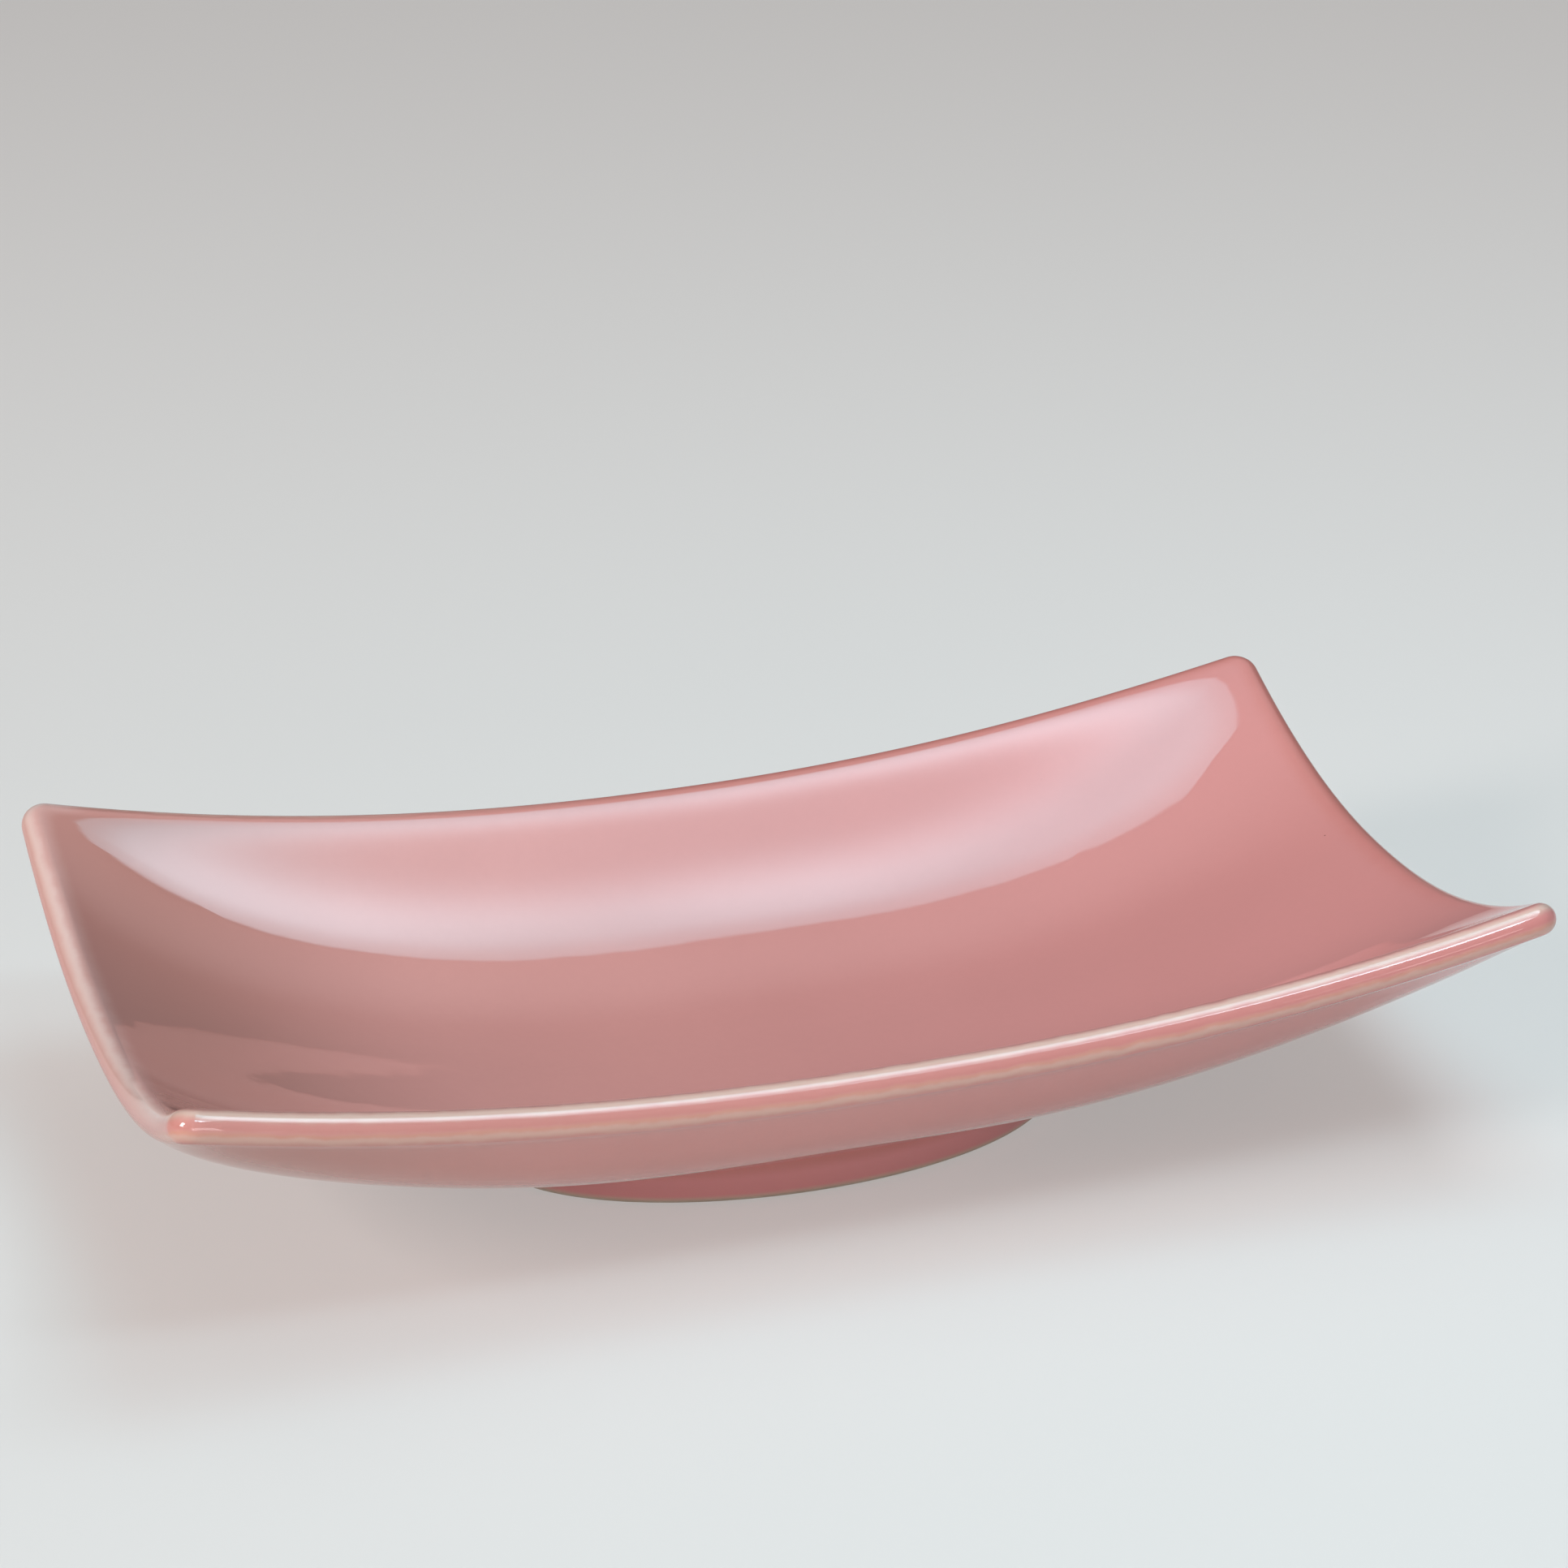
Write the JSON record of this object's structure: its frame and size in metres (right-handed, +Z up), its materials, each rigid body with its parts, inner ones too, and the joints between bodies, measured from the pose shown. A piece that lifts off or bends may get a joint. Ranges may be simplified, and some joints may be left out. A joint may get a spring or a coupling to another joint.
{
  "type": "serving platter",
  "caption": "Rectangular serving platter with raised corners, a rounded lip and a glossy pink glaze, standing on an oval foot ring.",
  "frame": {"origin": "on the table under the middle of the platter, at the bottom of the foot ring", "axes": "+X along the length, +Y across the width, +Z up out of the dish"},
  "size_m": [0.34, 0.1854, 0.073],
  "materials": {
    "fired_clay": "bare fired clay, matt and fine grained",
    "slip": "fired slip, matt",
    "pink_glaze": "glossy pink glaze, warm beige where it runs thin over an edge"
  },
  "bodies": {
    "root": {"clay_dish": "fired_clay", "foot_ring": "fired_clay", "luting_slip": "slip", "glaze_coat": "pink_glaze", "foot_well_glaze": "pink_glaze"}
  },
  "joints": []
}
